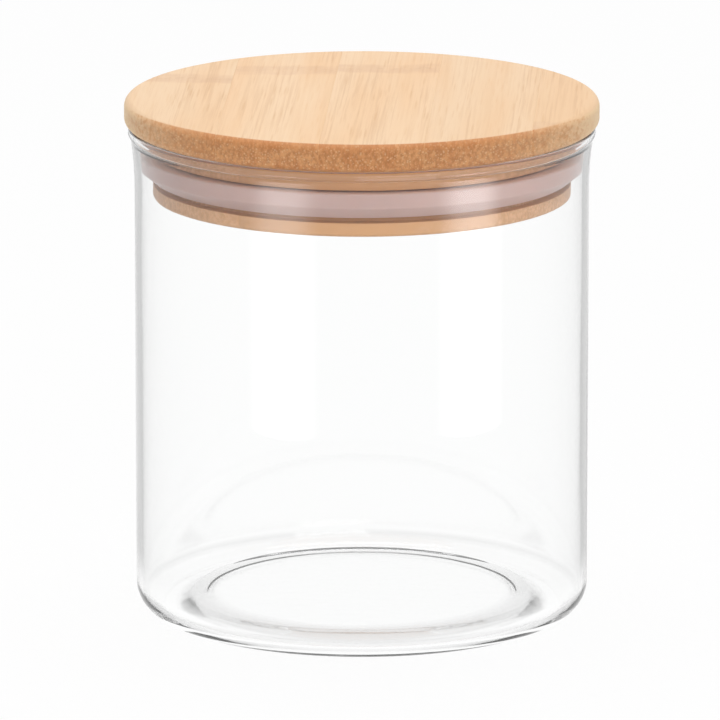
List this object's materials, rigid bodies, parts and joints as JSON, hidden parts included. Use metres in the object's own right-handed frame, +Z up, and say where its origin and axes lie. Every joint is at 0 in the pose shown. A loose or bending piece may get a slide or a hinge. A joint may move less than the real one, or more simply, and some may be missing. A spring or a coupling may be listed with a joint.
{
  "type": "food canister",
  "caption": "Round clear glass canister with a flat bamboo plug lid that is sealed by a lipped silicone ring.",
  "frame": {"origin": "middle of the ring that the jar stands on, at table level", "axes": "+Z up along the jar's axis, through the lid; the grain of the lid's top board runs along Y"},
  "size_m": [0.1044, 0.1044, 0.1154],
  "materials": {
    "clear_glass": "clear, fire-polished",
    "silicone": "translucent, satin",
    "bamboo_top": "sanded, matt oil, grain along Y",
    "bamboo_core": "sanded, grain along X"
  },
  "bodies": {
    "jar": {"glass_jar": "clear_glass"},
    "seal": {"seal_ring": "silicone"},
    "lid": {"top_strip_1": "bamboo_top", "top_strip_2": "bamboo_top", "top_strip_3": "bamboo_top", "top_strip_4": "bamboo_top", "top_strip_5": "bamboo_top", "core_strip_1": "bamboo_core", "core_strip_2": "bamboo_core", "core_strip_3": "bamboo_core", "core_strip_4": "bamboo_core", "core_strip_5": "bamboo_core", "core_strip_6": "bamboo_core", "core_strip_7": "bamboo_core", "core_strip_8": "bamboo_core", "core_strip_9": "bamboo_core", "core_strip_10": "bamboo_core", "core_strip_11": "bamboo_core", "core_strip_12": "bamboo_core", "core_strip_13": "bamboo_core"}
  },
  "joints": [
    {"name": "lid_lift", "type": "slide", "parent": "jar", "child": "seal", "axis": [0, 0, 1], "range_m": [0, 0.06]},
    {"name": "lid_turn", "type": "hinge", "parent": "seal", "child": "lid", "pos_m": [0, 0, 0.109], "axis": [0, 0, 1], "continuous": true}
  ]
}
